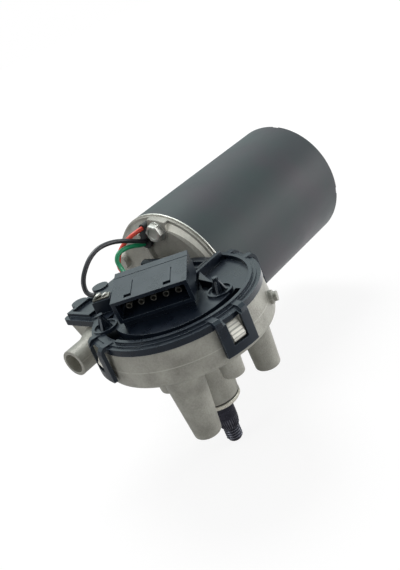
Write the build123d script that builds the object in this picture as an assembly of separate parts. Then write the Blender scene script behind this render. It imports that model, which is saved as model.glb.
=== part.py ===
from build123d import *
import math
import os

# Electric wiper motor: worm gear head with a parking switch, driven by a brushed motor.
# Millimetres.  Origin: output shaft axis at the plane of the three mounting bosses.
# +X along the armature axis towards the can, +Z towards the cover.

# ---- gear train ----
CENTRE = 43.0                 # output shaft axis to armature axis, along Y
AXIS_Z = 44.0                 # armature axis above the mounting plane
MODULE = 1.25
WHEEL_TEETH = 60
PITCH = math.pi * MODULE      # worm lead, single start, right hand
WHEEL_PITCH_R = MODULE * WHEEL_TEETH / 2
WORM_PITCH_R = CENTRE - WHEEL_PITCH_R
TOOTH_ADD = 1.15
TOOTH_DED = 1.45
PRESSURE = math.radians(20)
BACKLASH = 0.16               # taken off each tooth of worm and wheel
WHEEL_FACE = 8.0
WORM_LENGTH = 24.0            # an even number of turns keeps a groove at the middle
HUB_R = 9.0

# ---- gear housing ----
FLOOR_Z = 36.6                # underside of the wheel chamber
RIM_Z = 56.0                  # joint line with the cover
WALL_R_LOW = 44.5
WALL_R_TOP = 42.6
CHAMBER_R = 39.5
CHAMBER_Z = 39.4
TUNNEL_R = 10.4
WORM_BORE_R = 7.4
TUBE_R = 7.2
TUBE_BORE_R = 5.4
TUBE_END_X = -40.6
NECK_TIP_R = 11.6
NECK_TOP_R = 13.4
NECK_BORE_R = 8.5
NECK_Z = -0.6
BOSS_PCD = 62.0
BOSS_ANGLES = (90, 210, 330)
BOSS_TIP_R = 6.75
BOSS_TOP_R = {90: 10.0, 210: 10.0, 330: 8.4}
BOSS_HOLE_R = 3.4
BOSS_HOLE_DEPTH = 18.0
POCKET = (-22.5, 22.0, 36.0, 61.5)      # back pocket beside the worm: x0, x1, y0, y1
JOINT_X = 29.9                # cover joint on the motor side

# ---- motor end ----
CAN_R = 39.0
CAN_WALL = 2.4
CAN_X0 = 42.5
CAN_X1 = 159.8
FLANGE_R = 38.2
WEB_X = (38.0, 41.4)
BEARING_R = 11.0
BEARING_X = (33.0, 40.0)
BEARING_MID = 36.5
SCREW_R = 31.8                # flange screws, from the armature axis
SCREW_ANGLES = (102, 282)
SCREW_SEAT_X = 37.6
SCREW_STEM_R = 2.5
SCREW_HEAD_R = 4.6
SHAFT_R = 4.0
STAKE_ANGLES = (13, 103, 193, 283)

# ---- output shaft ----
SPINDLE_R = 6.0
TAPER_R = 5.75                # below the collar
THREAD_R = 4.0
THREAD_TOP_Z = -22.0
SPINDLE_TIP_Z = -29.9
SPINDLE_TOP_Z = 51.0
CIRCLIP_Z = (-3.1, 48.9)
CIRCLIP_THICK = 1.1
GROOVE_R = 5.5
COLLAR_R = 11.8
COLLAR_Z = (-3.5, -2.6, -2.0, -1.05)    # foot, step, underside of the plate, top
RUN_GAP = 0.03                # radial play of a shaft in its bush

# ---- cover ----
COVER_Z = 58.4                # top face of the cover plate
GASKET_Z = RIM_Z + 0.5
LOBE_R = 39.7
TROUGH_Z = 52.6               # underside of the deep channel in front of the connector
CLIP_ANGLES = (-105, -15, 158.5)
CLIP_WIDTH = 18.0
CLIP_R = 47.0
CONN_CORNER = (-29.7, 8.8, 73.0)        # front, left, top corner of the connector
CONN_YAW = -54.0
CONN_TILT = 7.5
CONN_SIZE = (37.6, 26.2, 12.0)          # width, depth, height
CONN_WALL = 1.8
SOCKET_DEPTH = 15.0
PIN_COUNT = 5
PIN_PITCH = 6.2
PIN_R = 1.5
PIN_TIP = 4.5                 # set back from the mouth
PIN_DROP = 6.6                # below the top face
LATCH_SLOTS = (6.6, 26.1)

# ---- leads: chosen points from the grommet to the cover ----
LEAD_D = 2.5
LEAD_BLACK = [(35.6, 45.7, 70.4), (30.4, 45.7, 73.0), (23.5, 45.6, 77.5), (14.0, 45.4, 82.2),
              (4.6, 45.3, 84.2), (-2.8, 45.3, 82.8), (-8.6, 45.2, 79.4), (-12.6, 45.0, 75.8),
              (-14.6, 44.6, 72.0), (-15.6, 42.8, 68.3), (-14.4, 39.0, 67.25)]
LEAD_GREEN = [(35.6, 48.4, 68.6), (31.8, 48.0, 69.8), (27.0, 47.0, 72.4), (20.4, 45.9, 74.6),
              (14.4, 45.5, 75.0), (11.2, 45.2, 72.2), (10.2, 43.0, 68.9), (7.6, 38.4, 66.6),
              (4.8, 33.6, 63.6), (4.0, 31.6, 58.2)]
LEAD_RED = [(35.6, 44.8, 78.2), (31.4, 45.6, 78.2), (26.2, 48.2, 77.0), (20.6, 50.0, 74.2),
            (16.2, 50.0, 70.4), (13.0, 48.0, 66.9), (11.2, 43.8, 64.7), (10.2, 38.8, 63.4),
            (9.4, 35.4, 61.4), (9.2, 33.4, 58.2)]
GROMMET_X = (35.6, 43.0)

# ---- ball bearing at the flange ----
BALL_R = 2.0
BALL_PITCH_R = 7.5
BALL_COUNT = 7

# ---- brush gear ----
BRUSH_ANGLES = (0, 180, 270)
BRUSH_X = 53.8
BRUSH_BOX_R = 22.0

# ---- armature and field ----
CORE_R = 28.6
CORE_X = (74.0, 132.0)
MAGNET_R = 29.4               # bore of the four magnets
COMMUTATOR_R = 11.0
SLOTS = 12

# ---- features standing on the cover ----
POSTS = ((-28.4, 21.8), (5.4, -25.4))
TOWER = (-12.9, 36.8)
TOWER_Z = 65.2
FINGERS = ((-6.0, 21.0), (0.0, 25.0), (6.0, 29.0))      # x place, reach from the shaft


# ---- small helpers ----
def disc(r, z0, z1, x=0.0, y=0.0):
    """Solid cylinder standing on z0."""
    base = (Align.CENTER, Align.CENTER, Align.MIN)
    return Pos(x, y, z0) * Cylinder(r, z1 - z0, align=base)


def cone(r0, r1, z0, z1, x=0.0, y=0.0):
    base = (Align.CENTER, Align.CENTER, Align.MIN)
    return Pos(x, y, z0) * Cone(r0, r1, z1 - z0, align=base)


def bar(r, x0, x1, y=CENTRE, z=AXIS_Z):
    """Solid cylinder along X, on the armature axis unless told otherwise."""
    base = (Align.CENTER, Align.CENTER, Align.MIN)
    return Pos(x0, y, z) * Rot(0, 90, 0) * Cylinder(r, x1 - x0, align=base)


def block(x0, x1, y0, y1, z0, z1):
    middle = Pos((x0 + x1) / 2, (y0 + y1) / 2, (z0 + z1) / 2)
    return middle * Box(x1 - x0, y1 - y0, z1 - z0)


def spin_x(points):
    """Turn an (x, radius) outline about the armature axis."""
    face = make_face(Polyline(*[(x, r, 0) for x, r in points], close=True))
    return Pos(0, CENTRE, AXIS_Z) * revolve(face, Axis.X)


def spin_z(points):
    """Turn a (radius, z) outline about the output axis."""
    face = make_face(Polyline(*[(r, 0, z) for r, z in points], close=True))
    return revolve(face, Axis.Z)


def at_angle(degrees, radius):
    a = math.radians(degrees)
    return radius * math.cos(a), radius * math.sin(a)


def on_motor(degrees, radius):
    """Point round the armature axis, 0 degrees along +Y, 90 along +Z."""
    a = math.radians(degrees)
    return CENTRE + radius * math.cos(a), AXIS_Z + radius * math.sin(a)


# ---- gear housing ----
def screw_bosses():
    bosses = Part()
    for angle in SCREW_ANGLES:
        y, z = on_motor(angle, SCREW_R)
        bosses += bar(6.2, SCREW_SEAT_X, 40.0, y, z)
        y_out, z_out = on_motor(angle, SCREW_R + 3.5)
        bosses += Pos(39.8, y_out, z_out) * Rot(angle - 90, 0, 0) * Box(4.4, 12.4, 7.0)
    return bosses & bar(FLANGE_R, 30.0, CAN_X0)


def flange():
    """End plate of the motor: rim, dished web, bearing boss and the spigot for the can."""
    spigot = CAN_R - CAN_WALL - 0.1
    plate = spin_x([(WEB_X[0], 0), (WEB_X[0], 32.6), (39.4, 34.4), (40.8, 36.6), (40.8, FLANGE_R),
                    (CAN_X0, FLANGE_R), (CAN_X0, spigot), (46.4, spigot), (46.4, 33.4),
                    (WEB_X[1], 33.4), (WEB_X[1], 0)])
    boss = spin_x([(31.0, 0), (31.0, 13.0), (33.0, 14.6), (40.0, 14.6), (40.0, 0)])
    rib_y, rib_z = on_motor(76, 22.5)
    ribs = Pos(37.0, rib_y, rib_z) * Rot(76, 0, 0) * Box(3.0, 18, 2.2)
    lug_y, lug_z = on_motor(24, 33.0)
    lug = bar(4.6, 34.0, 41.0, lug_y, lug_z)
    return plate + boss + ribs + lug + screw_bosses()


def mounting_bosses():
    bosses = Part()
    for angle in BOSS_ANGLES:
        x, y = at_angle(angle, BOSS_PCD / 2)
        column = cone(BOSS_TIP_R, BOSS_TOP_R[angle], 0, CHAMBER_Z - 0.5, x, y)
        column = fillet(column.edges().group_by(Axis.Z)[0], 1.2)
        rx, ry = at_angle(angle, BOSS_PCD / 4 + 2)
        rib = Pos(rx, ry, FLOOR_Z - 5) * Rot(0, 0, angle) * Box(BOSS_PCD / 2 - 8, 4.0, 13)
        bosses += column + rib
    return bosses


def web_between(start, end, thick, z_low):
    """Upright wall under the wheel chamber between two bosses."""
    along = Vector(end[0] - start[0], end[1] - start[1])
    middle = Pos((start[0] + end[0]) / 2, (start[1] + end[1]) / 2, (z_low + FLOOR_Z + 1) / 2)
    turn = Rot(0, 0, math.degrees(math.atan2(along.Y, along.X)))
    return middle * turn * Box(along.length, thick, FLOOR_Z + 1 - z_low)


def pocket_block(inset, z_top, z_low):
    """Tapered block beside the worm that carries the back of the cover."""
    x0, x1, y0, y1 = POCKET
    sections = []
    for z, pull, drop in ((z_top, 0.0, 0.0), (46.0, 1.5, 2.5), (z_low, 5.5, 7.5)):
        wide = x1 - x0 - 2 * inset - pull
        deep = y1 - y0 - 2 * inset - drop
        section = RectangleRounded(wide, deep, 3)
        sections.append(Pos((x0 + x1 + pull) / 2, (y0 + y1 - drop) / 2, z) * section)
    return loft(sections, ruled=True)


def clip_hook(angle):
    """Stepped wedge on the wall that a cover clip snaps over."""
    outline = [(41.0, 45.6), (46.0, 45.6), (46.6, 47.4), (45.4, 50.6), (45.0, 50.9), (43.4, 54.0),
               (41.0, 54.0)]
    face = make_face(Polyline(*[(r, 0, z) for r, z in outline], close=True))
    wedge = extrude(face, 3.4, both=True)
    return Rot(0, 0, angle) * wedge


def gear_housing():
    body = spin_z([(0, FLOOR_Z), (WALL_R_LOW, FLOOR_Z), (WALL_R_TOP, RIM_Z), (0, RIM_Z)])
    body = fillet(body.edges().filter_by(GeomType.CIRCLE).group_by(Axis.Z)[0], 2.2)
    body -= bar(CAN_R + 0.4, CAN_X0, 60.0)
    body += block(14.0, JOINT_X, 10.0, 50.0, 46.0, RIM_Z)
    body += pocket_block(0, RIM_Z, 37.5)
    body += bar(TUNNEL_R, -20.0, 38.0)
    body += spin_x([(-29.0, 0), (-29.0, TUBE_R), (-20.0, TUNNEL_R), (-20.0, 0)])
    body += fillet(bar(TUBE_R, TUBE_END_X, -28.0).edges().group_by(Axis.X)[0], 0.5)
    body += flange()
    body += mounting_bosses()
    body += cone(NECK_TIP_R, NECK_TOP_R, NECK_Z, CHAMBER_Z - 0.5)
    stub_x, stub_y = at_angle(-112, 36.5)
    body += cone(5.4, 6.0, 27.2, CHAMBER_Z - 0.5, stub_x, stub_y)
    body += web_between((stub_x, stub_y), at_angle(BOSS_ANGLES[2], BOSS_PCD / 2), 3.0, 30.5)
    for angle in CLIP_ANGLES:
        body += clip_hook(angle)
    lug_x, lug_y = at_angle(-60, 43.0)
    lug = Pos(lug_x, lug_y, 45.0) * Rot(0, 0, -60) * Rot(0, 90, 0)
    body += lug * Cylinder(3.4, 5.0) + lug * Cylinder(2.4, 9.0)
    # rib that ties the wheel chamber to the flange underneath
    body += block(34.0, 40.5, 30.0, 56.0, 19.0, 40.0)
    body += block(36.0, 40.5, 8.0, 40.0, 30.0, 40.0)
    # hollows
    body -= disc(CHAMBER_R, CHAMBER_Z, RIM_Z + 1)
    body -= pocket_block(3.2, RIM_Z + 0.01, 42.5)
    body -= bar(WORM_BORE_R, -17.0, 31.0)
    body -= bar(TUBE_BORE_R, TUBE_END_X - 1, -16.0)
    body -= bar(SHAFT_R + 0.8, 30.0, 34.0)
    body -= bar(BEARING_R, BEARING_X[0], BEARING_X[1] + 8)
    body -= disc(NECK_BORE_R, NECK_Z - 1, CHAMBER_Z + 1)
    for angle in BOSS_ANGLES:
        x, y = at_angle(angle, BOSS_PCD / 2)
        body -= disc(BOSS_HOLE_R, -1, BOSS_HOLE_DEPTH, x, y)
    body -= grommet_shape(0.0, 34.0, 50.0)
    for angle in SCREW_ANGLES:
        y, z = on_motor(angle, SCREW_R)
        body -= bar(SCREW_STEM_R, 30.0, 48.0, y, z)
    return body


# ---- grommet and leads ----
def grommet_shape(grow, x0, x1):
    """Upright slot that takes the three leads through the flange."""
    low = bar(3.7 + grow, x0, x1, 47.0, 69.5)
    high = bar(2.5 + grow, x0, x1, 44.8, 77.9)
    web = Pos(0, 45.9, 73.7) * Rot(14, 0, 0) * block(x0, x1, -2.9 - grow, 2.9 + grow, -4.4, 4.4)
    return low + high + web


def lead_grommet():
    return grommet_shape(0.0, GROMMET_X[0], GROMMET_X[1])


def corner_radii(points):
    """Largest tangent arc at each corner: 0.45 of the shorter run over tan of half the turn."""
    radii = []
    for a, b, c in zip(points, points[1:], points[2:]):
        run_in = Vector(*b) - Vector(*a)
        run_out = Vector(*c) - Vector(*b)
        half = math.radians(run_in.get_angle(run_out)) / 2
        radii.append(0.45 * min(run_in.length, run_out.length) / math.tan(half))
    return radii


def lead(name, points):
    radii = corner_radii(points)
    path = FilletPolyline(*points, radius=radii)
    section = Plane(origin=path @ 0, z_dir=path % 0) * Circle(LEAD_D / 2)
    tube = sweep(section, path=path)
    print(name, "radii", [round(r, 1) for r in radii], "length", round(path.length, 1),
          "volume ratio", round(tube.volume / (math.pi * LEAD_D ** 2 / 4 * path.length), 4))
    return tube


# ---- gears ----
def wheel_outline(turn):
    """Closed outline of the wheel teeth, turned by an angle in radians."""
    base_r = WHEEL_PITCH_R * math.cos(PRESSURE)
    half_tooth = (PITCH / 2 - BACKLASH) / 2 / WHEEL_PITCH_R
    involute = math.tan(PRESSURE) - PRESSURE

    def half_angle(r):
        if r <= base_r:
            return half_tooth + involute
        a = math.acos(base_r / r)
        return half_tooth + involute - (math.tan(a) - a)

    radii = (WHEEL_PITCH_R - TOOTH_DED, WHEEL_PITCH_R, WHEEL_PITCH_R + TOOTH_ADD)
    points = []
    for i in range(WHEEL_TEETH):
        middle = math.pi / 2 + turn + 2 * math.pi * i / WHEEL_TEETH
        flank = [(r, -half_angle(r)) for r in radii] + [(r, half_angle(r)) for r in reversed(radii)]
        for r, a in flank:
            points.append((r * math.cos(middle + a), r * math.sin(middle + a)))
    return points


def worm_wheel():
    """Moulded wheel: helical teeth, thinner web with ribs, thick hub seat."""
    twist = PITCH / (2 * math.pi * WORM_PITCH_R) / WHEEL_PITCH_R * WHEEL_FACE / 2
    z_low = AXIS_Z - WHEEL_FACE / 2
    low = [(x, y, z_low) for x, y in wheel_outline(-twist)]
    high = [(x, y, z_low + WHEEL_FACE) for x, y in wheel_outline(twist)]
    teeth = Solid.make_loft([Wire.make_polygon(low), Wire.make_polygon(high)], ruled=True)
    cuts = [disc(32.5, z_low + 5.0, z_low + WHEEL_FACE + 1) - disc(14.0, z_low, z_low + WHEEL_FACE + 2)]
    for i in range(6):
        x, y = at_angle(60 * i + 30, 23.0)
        cuts.append(disc(5.0, z_low - 1, z_low + 6, x, y))
    cuts.append(disc(HUB_R, z_low - 1, z_low + WHEEL_FACE + 1))
    return Part() + teeth - cuts


def worm_thread():
    """Right-hand single-start thread as a swept trapezoid."""
    root = WORM_PITCH_R - TOOTH_DED - 0.25
    half = (PITCH / 2 - BACKLASH) / 2
    spread = math.tan(PRESSURE)
    turns = round(WORM_LENGTH / PITCH)
    length = turns * PITCH
    helix = Helix(PITCH, length, WORM_PITCH_R)
    outline = [(root - WORM_PITCH_R, -half - (WORM_PITCH_R - root) * spread),
               (TOOTH_ADD, -half + TOOTH_ADD * spread),
               (TOOTH_ADD, half - TOOTH_ADD * spread),
               (root - WORM_PITCH_R, half + (WORM_PITCH_R - root) * spread)]
    start = Plane(origin=helix @ 0, x_dir=(1, 0, 0), z_dir=(0, -1, 0))
    section = start * make_face(Polyline(*outline, close=True))
    thread = sweep(section, path=helix, is_frenet=True)
    return thread, length


def armature_shaft():
    """Ground shaft with the worm cut on it."""
    thread, length = worm_thread()
    # the helix axis is +Z: lay it along +X, groove centred where the wheel tooth stands
    turned = Rot(0, 90, 0) * Rot(0, 0, 90) * Pos(0, 0, -length / 2) * thread
    worm = Pos(0, CENTRE, AXIS_Z) * turned
    shaft = bar(SHAFT_R, -24.6, 154.0)
    shaft = chamfer(shaft.edges().filter_by(GeomType.CIRCLE), 0.5)
    return shaft + worm


# ---- output side ----
def wheel_hub():
    """Steel hub pressed on the splines of the spindle, moulded into the wheel."""
    z_low = AXIS_Z - WHEEL_FACE / 2
    return disc(HUB_R, z_low, z_low + WHEEL_FACE) - disc(SPINDLE_R, z_low - 1, z_low + WHEEL_FACE + 1)


def park_contact_ring():
    """Stamped contact disc on top of the wheel, with the gap that marks the park position."""
    z0 = AXIS_Z + WHEEL_FACE / 2
    ring = disc(31.5, z0, z0 + 0.6) - disc(17.0, z0 - 1, z0 + 2)
    gap = Pos(26.5, 0, z0) * Box(10.5, 9.0, 4.0)
    inner_gap = Rot(0, 0, 40) * Pos(19.0, 0, z0) * Box(5.0, 12.0, 4.0)
    return ring - gap - inner_gap


def output_shaft():
    """Spindle: journal, retaining grooves, swelling taper that carries the crank, threaded end."""
    tip = SPINDLE_TIP_Z
    outline = [(0, tip), (2.2, tip), (3.3, tip + 0.8), (THREAD_R, tip + 2.2), (THREAD_R, THREAD_TOP_Z),
               (THREAD_R + 0.3, THREAD_TOP_Z + 0.4), (5.1, -19.8), (5.5, -17.8), (TAPER_R - 0.05, -15.6),
               (TAPER_R, -13.0), (TAPER_R, -3.3), (SPINDLE_R, -3.3), (SPINDLE_R, SPINDLE_TOP_Z - 0.8),
               (SPINDLE_R - 0.8, SPINDLE_TOP_Z), (0, SPINDLE_TOP_Z)]
    shaft = spin_z(outline)
    for z in CIRCLIP_Z:
        shaft -= disc(7, z, z + CIRCLIP_THICK) - disc(GROOVE_R, z - 1, z + 2)
    return shaft


def shaft_circlips():
    """Two retaining rings: one under the collar, one over the wheel hub."""
    rings = []
    for z in CIRCLIP_Z:
        ring = disc(8.2, z, z + CIRCLIP_THICK) - disc(GROOVE_R, z - 1, z + 2)
        ring -= Pos(7, 0, z + 0.5) * Box(5, 3.0, 3)
        rings.append(Rot(0, 0, -60) * ring)
    return Compound(children=rings)


def thrust_washer():
    """Stepped collar under the neck, hollow below round the circlip."""
    foot, step, plate, top = COLLAR_Z
    return spin_z([(SPINDLE_R, plate), (SPINDLE_R, top), (COLLAR_R - 0.3, top), (COLLAR_R, top - 0.3),
                   (COLLAR_R, step), (COLLAR_R - 0.5, step), (COLLAR_R - 0.8, foot), (9.0, foot), (9.0, plate)])


def hub_washer():
    return disc(9.6, 48.0, CIRCLIP_Z[1]) - disc(SPINDLE_R, 47, 50)


def shaft_seal():
    """Rubber ring between the neck and the collar."""
    return disc(11.0, NECK_Z - 0.35, NECK_Z) - disc(9.2, NECK_Z - 1, NECK_Z + 1)


def bush(z0, z1):
    return disc(NECK_BORE_R, z0, z1) - disc(SPINDLE_R + RUN_GAP, z0 - 1, z1 + 1)


# ---- armature side ----
def slotted_core():
    """Lamination stack with round slots that open to the rim."""
    x0, x1 = CORE_X
    core = bar(CORE_R, x0, x1) - bar(SHAFT_R, x0 - 1, x1 + 1)
    cuts = []
    for i in range(SLOTS):
        angle = 360 * (i + 0.5) / SLOTS
        y, z = on_motor(angle, 22.0)
        cuts.append(bar(4.0, x0 - 1, x1 + 1, y, z))
        y, z = on_motor(angle, 26.5)
        cuts.append(Pos((x0 + x1) / 2, y, z) * Rot(angle, 0, 0) * Box(x1 - x0 + 2, 6.0, 2.4))
    return core - cuts


def windings():
    """End turns of the winding, one crowned ring at each end of the core."""
    rings = []
    for x0, x1 in ((66.6, CORE_X[0]), (CORE_X[1], 139.5)):
        rings.append(spin_x([(x0, 9.0), (x0, 23.0), (x0 + 2.0, 25.6), (x1 - 2.0, 25.6),
                             (x1, 23.5), (x1, 9.0)]))
    return Compound(children=rings)


def commutator():
    """Copper segments with a riser flange towards the winding."""
    body = bar(COMMUTATOR_R, 48.5, 64.0) + bar(13.0, 64.0, 66.2) - bar(SHAFT_R, 40.0, 70.0)
    cuts = []
    for i in range(SLOTS):
        angle = 360 * i / SLOTS
        y, z = on_motor(angle, COMMUTATOR_R)
        cuts.append(Pos(55.0, y, z) * Rot(angle, 0, 0) * Box(17.0, 1.4, 0.7))
    return body - cuts


def race(r_out, r_in, groove):
    """Bearing ring with the ball groove cut in it."""
    x0, x1 = BEARING_X
    ring = bar(r_out, x0, x1) - bar(r_in, x0 - 1, x1 + 1)
    return ring - Pos(BEARING_MID, CENTRE, AXIS_Z) * Rot(0, 90, 0) * Torus(BALL_PITCH_R, groove)


def bearing_outer_race():
    return race(BEARING_R, 9.1, BALL_R + 0.01)


def bearing_inner_race():
    return race(5.9, SHAFT_R, BALL_R + 0.05)


def bearing_balls():
    """Balls with the pressed cage that spaces them."""
    solids = []
    for i in range(BALL_COUNT):
        y, z = on_motor(360 * i / BALL_COUNT, BALL_PITCH_R)
        solids.append(Pos(BEARING_MID, y, z) * Sphere(BALL_R))
    cage = bar(8.2, BEARING_MID - 0.5, BEARING_MID + 0.5) - bar(6.8, 30.0, 42.0)
    return Part() + solids + cage


def rear_bush():
    """Barrel-shaped sintered bush that aligns itself in the end plate."""
    bore = SHAFT_R + RUN_GAP
    return spin_x([(149.4, bore), (149.4, 5.6), (151.2, 6.8), (153.0, 7.2), (154.8, 6.8), (156.6, 5.6),
                   (156.6, bore)])


def worm_end_bush():
    return bar(TUBE_BORE_R, -24.0, -16.5) - bar(SHAFT_R + RUN_GAP, -30.0, -10.0)


def thrust_ball():
    return Pos(-27.1, CENTRE, AXIS_Z) * Sphere(2.45)


def end_stop():
    """Threaded plug that sets the end float of the armature."""
    plug = bar(TUBE_BORE_R, -34.0, -29.55)
    slot = block(-35.0, -32.6, CENTRE - 4, CENTRE + 4, AXIS_Z - 0.7, AXIS_Z + 0.7)
    return plug - slot


# ---- can and field ----
def motor_can():
    can = bar(CAN_R, CAN_X0, CAN_X1) - bar(CAN_R - CAN_WALL, CAN_X0 - 1, CAN_X1 + 1)
    rim = can.edges().filter_by(GeomType.CIRCLE).group_by(Axis.X)[-1].sort_by(SortBy.LENGTH)[-1]
    can = fillet(rim, 1.0)
    for angle in STAKE_ANGLES:
        y, z = on_motor(angle, CAN_R)
        can -= Pos(CAN_X1, y, z) * Rot(angle, 0, 0) * Box(3.0, 1.6, 4.4)
    return can


def rear_end_plate():
    """Pressed steel plate with the bearing cup, staked in the rear of the can."""
    edge = CAN_R - CAN_WALL
    return spin_x([(158.6, 0), (158.6, 8.0), (157.6, 10.2), (155.4, 12.4), (155.4, 33.0), (157.2, 35.0),
                   (157.2, edge), (154.8, edge), (154.8, 34.6), (153.2, 32.6), (153.2, 13.4), (148.8, 11.4),
                   (148.8, 7.2), (157.0, 7.2), (157.0, 0)])


def field_magnets():
    """Four ferrite arcs bonded inside the can."""
    ring = bar(CAN_R - CAN_WALL, 70.0, 137.0) - bar(MAGNET_R, 60.0, 140.0)
    arcs = []
    for i in range(4):
        wedge_face = make_face(Polyline((0, 0, 0), (60, -44, 0), (60, 44, 0), close=True))
        wedge = extrude(wedge_face, 40, both=True)
        placed = Pos(103.0, CENTRE, AXIS_Z) * Rot(45 + 90 * i, 0, 0) * Rot(0, 0, 90) * Rot(0, 90, 0) * wedge
        arcs.append(ring & placed)
    return Compound(children=[a.solids()[0] for a in arcs])


def brush_plate():
    plate = bar(36.4, 46.4, 49.3) - bar(14.0, 40.0, 60.0)
    y, z = on_motor(90, 30.5)
    return plate - block(40.0, 60.0, y - 6, y + 6, z - 6, z + 12)


def brush_boxes():
    boxes = []
    for angle in BRUSH_ANGLES:
        shell = Box(9.0, 15.0, 8.0) - Box(6.2, 20.0, 5.2)
        y, z = on_motor(angle, BRUSH_BOX_R)
        boxes.append(Pos(BRUSH_X, y, z) * Rot(angle, 0, 0) * shell)
    return Compound(children=boxes)


def brushes():
    items = []
    for angle in BRUSH_ANGLES:
        carbon = Pos(0, -3.6, 0) * Box(6.0, 9.6, 5.0)
        y, z = on_motor(angle, BRUSH_BOX_R)
        item = Pos(BRUSH_X, y, z) * Rot(angle, 0, 0) * carbon
        items.append((item - bar(COMMUTATOR_R + 0.04, 40.0, 70.0)).solids()[0])
    return Compound(children=items)


def brush_springs():
    items = []
    for angle in BRUSH_ANGLES:
        coil = Pos(0, 4.4, 0) * Rot(90, 0, 0) * (Cylinder(2.2, 6.2) - Cylinder(1.5, 8.0))
        y, z = on_motor(angle, BRUSH_BOX_R)
        items.append(Pos(BRUSH_X, y, z) * Rot(angle, 0, 0) * coil)
    return Compound(children=items)


# ---- fasteners ----
def flange_screws():
    """Hexagon screws that clamp the brush plate and flange."""
    screws = []
    for angle in SCREW_ANGLES:
        y, z = on_motor(angle, SCREW_R)
        seat = SCREW_SEAT_X
        head = Pos(seat - 4.2, y, z) * Rot(0, 90, 0) * extrude(RegularPolygon(SCREW_HEAD_R, 6), 3.5)
        head -= bar(2.9, seat - 5, seat - 3.4, y, z)
        washer = bar(5.3, seat - 0.7, seat, y, z)
        stem = bar(SCREW_STEM_R, seat - 1, 46.4, y, z)
        screws.append((head + washer + stem).solids()[0])
    return Compound(children=screws)


# ---- cover ----
def cover_plan(grow, z0, z1):
    """Outline shared by the gear housing joint and the cover: wheel circle and back pocket."""
    x0, x1, y0, y1 = POCKET
    pocket = Pos((x0 + x1) / 2, (y0 + y1) / 2, z0) * extrude(
        RectangleRounded(x1 - x0 + 2 * grow, y1 - y0 + 2 * grow, 3), z1 - z0)
    wheel = disc(WALL_R_TOP + grow, z0, z1)
    neck = block(0.0, JOINT_X + grow, 0.0, 50.0 + grow, z0, z1)
    motor_side = block(JOINT_X + 1.0, 60.0, 31.5, 90.0, z0 - 1, z1 + 1)
    motor_side += block(WEB_X[0] - 0.4, 60.0, 4.0, 90.0, z0 - 1, z1 + 1)
    return wheel + pocket + neck - motor_side


def conn_place():
    x, y, z = CONN_CORNER
    return Pos(x, y, z) * Rot(0, 0, CONN_YAW) * Rot(CONN_TILT, 0, 0)


def conn_box(u0, u1, d0, d1, h0, h1):
    """Box in the connector's own axes: across, inwards from the mouth, up from the top face."""
    return conn_place() * block(u0, u1, d0, d1, h0, h1)


def conn_pin(u, r, d0, d1):
    """Cylinder along the plug's way in."""
    base = (Align.CENTER, Align.CENTER, Align.MIN)
    return conn_place() * Pos(u, d0, -PIN_DROP) * Rot(-90, 0, 0) * Cylinder(r, d1 - d0, align=base)


def connector_header():
    """Shroud with the plug socket, latch slots on top and side cheeks."""
    w, d, h = CONN_SIZE
    shell = conn_box(0, w, 0, d, -h, 0)
    shell -= conn_box(CONN_WALL, w - CONN_WALL, -1, SOCKET_DEPTH, -h + CONN_WALL, -CONN_WALL)
    for u in LATCH_SLOTS:
        shell -= conn_box(u, u + 3.8, 1.9, 4.4, -CONN_WALL - 1, 1)
        shell -= conn_box(u + 3.3, u + 3.8, 4.0, 15.5, -0.5, 1)
    shell -= conn_box(-1, w + 1, 21.0, 21.5, -0.5, 1)
    for i in range(PIN_COUNT):
        u = w / 2 + (i - (PIN_COUNT - 1) / 2) * PIN_PITCH
        shell -= conn_pin(u, PIN_R, SOCKET_DEPTH - 1, d - 2.0)
    # foot that stands on the cover plate
    foot = conn_place() * block(1.0, w - 1.0, 1.6, d, -h - 9, -h)
    foot &= block(-60, 60, -60, 60, COVER_Z, 90)
    return shell + foot


def connector_pins():
    """Five round sleeve contacts, open at the tip, set back in the socket."""
    w, d, _ = CONN_SIZE
    pins = []
    for i in range(PIN_COUNT):
        u = w / 2 + (i - (PIN_COUNT - 1) / 2) * PIN_PITCH
        pin = conn_pin(u, PIN_R, PIN_TIP, d - 2.0) - conn_pin(u, PIN_R - 0.45, PIN_TIP - 1, PIN_TIP + 5)
        pins.append(pin.solids()[0])
    return Compound(children=pins)


def cover_clip(angle):
    """Snap frame over its hook: two rounded shoulders from the cover, lower in the middle."""
    inner = CLIP_R - 1.9
    shoulders = spin_z([(39.5, GASKET_Z), (inner, GASKET_Z), (inner, 40.4), (CLIP_R, 40.4), (CLIP_R, 55.6),
                        (46.3, 57.6), (44.6, 58.9), (39.5, 58.9)])
    frame = shoulders & Rot(0, 0, angle) * Pos(CLIP_R, 0, 50) * Box(20, CLIP_WIDTH, 40)
    waist = Rot(0, 0, angle) * Pos(CLIP_R, 0, 50) * Box(20, CLIP_WIDTH - 7.0, 40)
    frame -= spin_z([(39.0, 57.5), (43.6, 57.5), (48.0, 55.4), (48.0, 62.0), (39.0, 62.0)]) & waist
    window = Rot(0, 0, angle) * Pos(CLIP_R, 0, 50.9) * Box(12, 8.6, 12.4)
    # the wall widens towards the foot, so the inside face is cleared
    clear = cone(WALL_R_LOW + 0.3, WALL_R_TOP + 0.15, FLOOR_Z, RIM_Z)
    return frame - window - clear


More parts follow.
